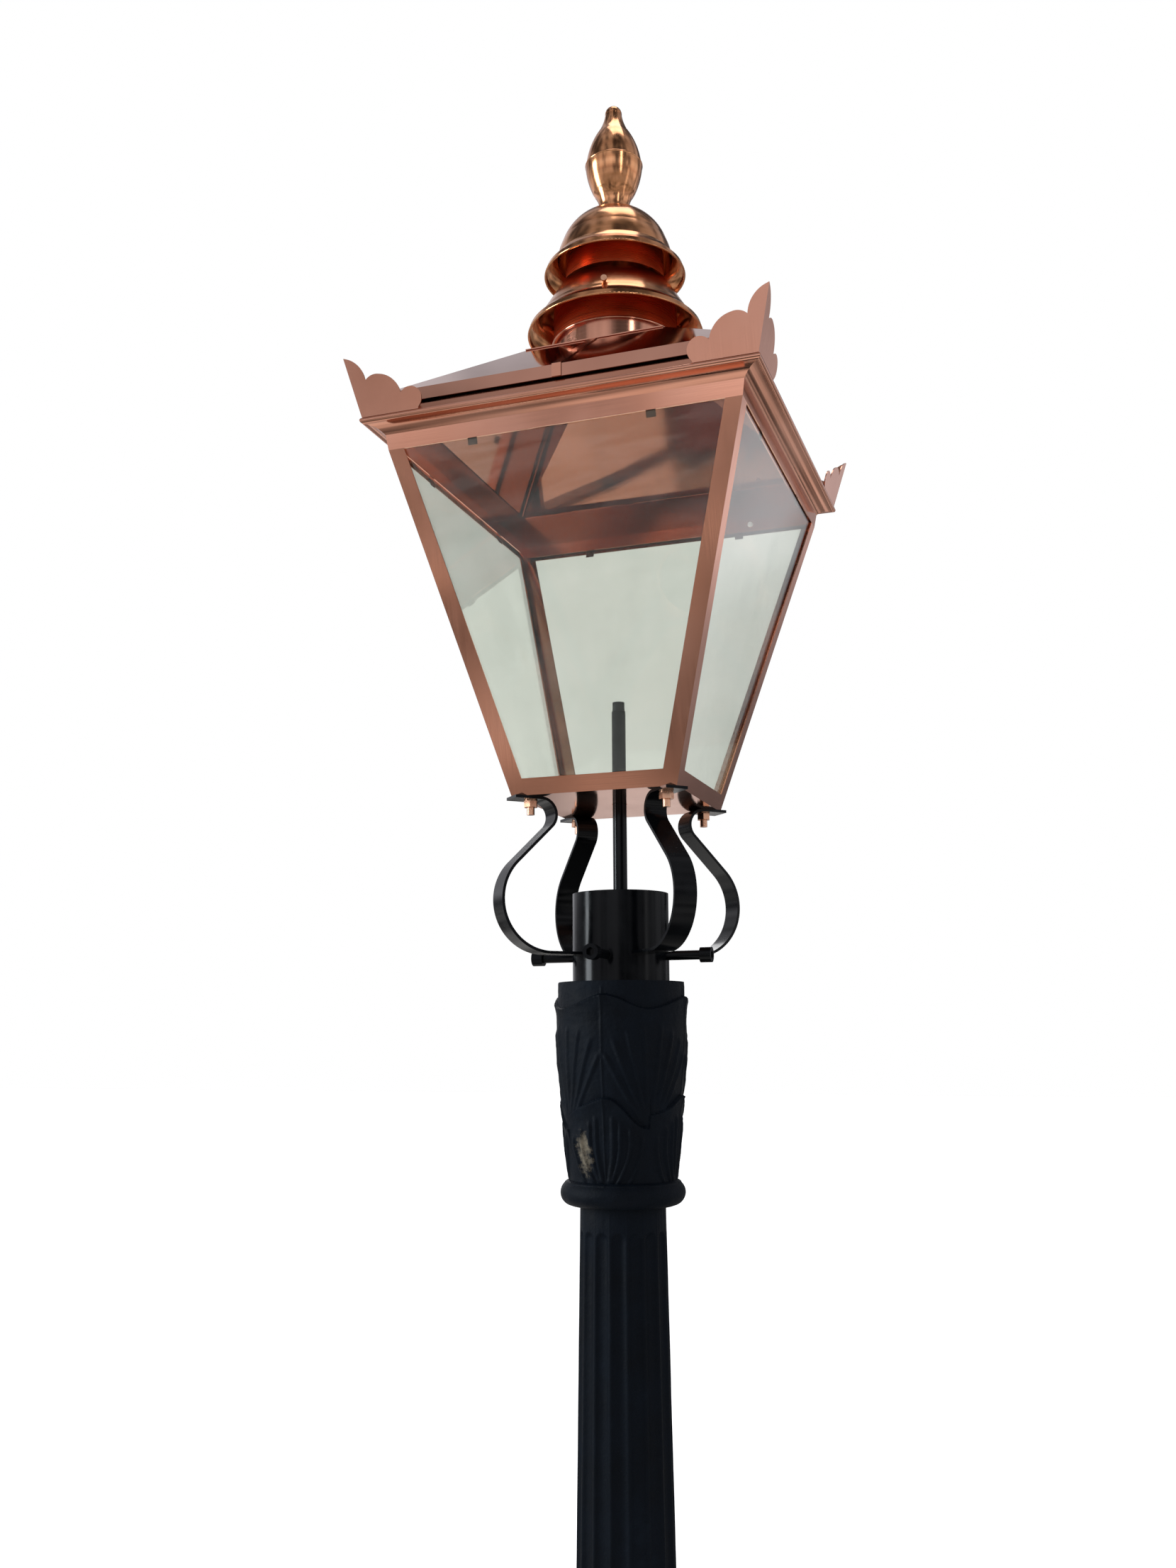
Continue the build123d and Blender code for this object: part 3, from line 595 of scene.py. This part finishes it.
def area_light(name, place, aim, size, power, colour):
    """A soft rectangular lamp, itself unseen by the camera and through glass."""
    data = bpy.data.lights.new(name, "AREA")
    data.shape = "RECTANGLE"
    data.size, data.size_y = size
    data.energy = power
    data.color = colour
    made = bpy.data.objects.new(name, data)
    bpy.context.scene.collection.objects.link(made)
    made.visible_camera = False
    made.visible_transmission = False
    made.location = place
    made.rotation_euler = (Vector(aim) - Vector(place)).to_track_quat("-Z", "Y").to_euler()


def white_walled_room():
    """World: plain white to the camera; reflections see a room that brightens and darkens with height,
    broken into tall soft bands as by windows and wall bays."""
    world = bpy.data.worlds.new("room")
    bpy.context.scene.world = world
    world.use_nodes = True
    tree = world.node_tree
    tree.nodes.clear()

    def node(kind, **values):
        made = tree.nodes.new(kind)
        for key, value in values.items():
            setattr(made, key, value)
        return made

    def ramp(value, *stops):
        made = node("ShaderNodeValToRGB")
        band = made.color_ramp
        while len(band.elements) < len(stops):
            band.elements.new(0.5)
        for element, (position, grey) in zip(band.elements, stops):
            element.position = position
            element.color = (grey, grey, grey * 1.03, 1)
        tree.links.new(value, made.inputs["Fac"])
        return made.outputs["Color"]

    where = node("ShaderNodeTexCoord").outputs["Generated"]
    split = node("ShaderNodeSeparateXYZ")
    tree.links.new(where, split.inputs[0])
    height = node("ShaderNodeMapRange")
    height.inputs["From Min"].default_value = -1.0
    tree.links.new(split.outputs["Z"], height.inputs["Value"])
    by_height = ramp(height.outputs[0], (0.0, 0.25), (0.46, 0.9), (0.50, 0.50), (0.53, 0.45), (0.58, 0.95),
                     (0.64, 0.80), (0.74, 0.45), (0.80, 0.60), (0.87, 0.35), (1.0, 0.45))
    flipped = node("ShaderNodeMath", operation="MULTIPLY")
    flipped.inputs[1].default_value = -1.0
    tree.links.new(split.outputs["Y"], flipped.inputs[0])
    heading = node("ShaderNodeMath", operation="ARCTAN2")
    tree.links.new(split.outputs["X"], heading.inputs[0])
    tree.links.new(flipped.outputs[0], heading.inputs[1])
    turned_on = node("ShaderNodeMath", operation="MULTIPLY_ADD")
    tree.links.new(heading.outputs[0], turned_on.inputs[0])
    turned_on.inputs[1].default_value = 3.0
    turned_on.inputs[2].default_value = 0.7
    wave = node("ShaderNodeMath", operation="COSINE")
    tree.links.new(turned_on.outputs[0], wave.inputs[0])
    patches = node("ShaderNodeTexNoise")
    patches.inputs["Scale"].default_value = 4.0
    patches.inputs["Detail"].default_value = 3.0
    tree.links.new(where, patches.inputs["Vector"])
    bays = node("ShaderNodeMath", operation="MULTIPLY_ADD")
    tree.links.new(wave.outputs[0], bays.inputs[0])
    bays.inputs[1].default_value = 0.10
    tree.links.new(patches.outputs["Fac"], bays.inputs[2])
    by_bay = ramp(bays.outputs[0], (0.34, 0.10), (0.46, 0.35), (0.54, 0.80), (0.68, 1.0))
    both = node("ShaderNodeMix", data_type="RGBA", blend_type="MULTIPLY")
    both.inputs["Factor"].default_value = 1.0
    tree.links.new(by_height, both.inputs[6])
    tree.links.new(by_bay, both.inputs[7])
    shown = node("ShaderNodeBackground")
    shown.inputs["Color"].default_value = (1, 1, 1, 1)
    mirrored = node("ShaderNodeBackground")
    mirrored.inputs["Strength"].default_value = 1.3
    tree.links.new(both.outputs[2], mirrored.inputs["Color"])
    path = node("ShaderNodeLightPath")
    seen = node("ShaderNodeMath", operation="MAXIMUM")
    tree.links.new(path.outputs["Is Camera Ray"], seen.inputs[0])
    tree.links.new(path.outputs["Is Transmission Ray"], seen.inputs[1])
    choice = node("ShaderNodeMixShader")
    tree.links.new(seen.outputs[0], choice.inputs[0])
    tree.links.new(mirrored.outputs[0], choice.inputs[1])
    tree.links.new(shown.outputs[0], choice.inputs[2])
    tree.links.new(choice.outputs[0], node("ShaderNodeOutputWorld").inputs["Surface"])


LAMPS = (
    ("window_left", (-3.4, -1.6, 2.6), (1.1, 2.8), 115, (0.88, 0.95, 1.0)),
    ("window_right", (2.7, -2.5, 3.4), (0.4, 2.0), 12, (1, 1, 1)),
    ("skylight", (0.2, 0.2, 5.6), (1.6, 1.6), 20, (1, 1, 1)),
    ("fill_right", (3.6, -0.6, 2.0), (0.4, 2.4), 3, (1, 1, 1)),
    ("rim_back", (-1.6, 3.6, 3.4), (1.4, 1.8), 22, (1, 1, 1)),
)


def floor_and_lights():
    """The floor, five soft lamps aimed at the lantern, and the world."""
    size = 40.0
    floor = add_mesh("floor", [(-size, -size, 0), (size, -size, 0), (size, size, 0), (-size, size, 0)],
                     [(0, 1, 2, 3)], stage_floor("stage_floor"), smooth=False)
    for name, place, width_height, power, colour in LAMPS:
        area_light(name, place, (0, 0, FLOOR + 0.3), width_height, power, colour)
    white_walled_room()
    bpy.context.scene.view_settings.view_transform = "Standard"


camera()
floor_and_lights()
paint_cad()
make_capital()
make_shaft()
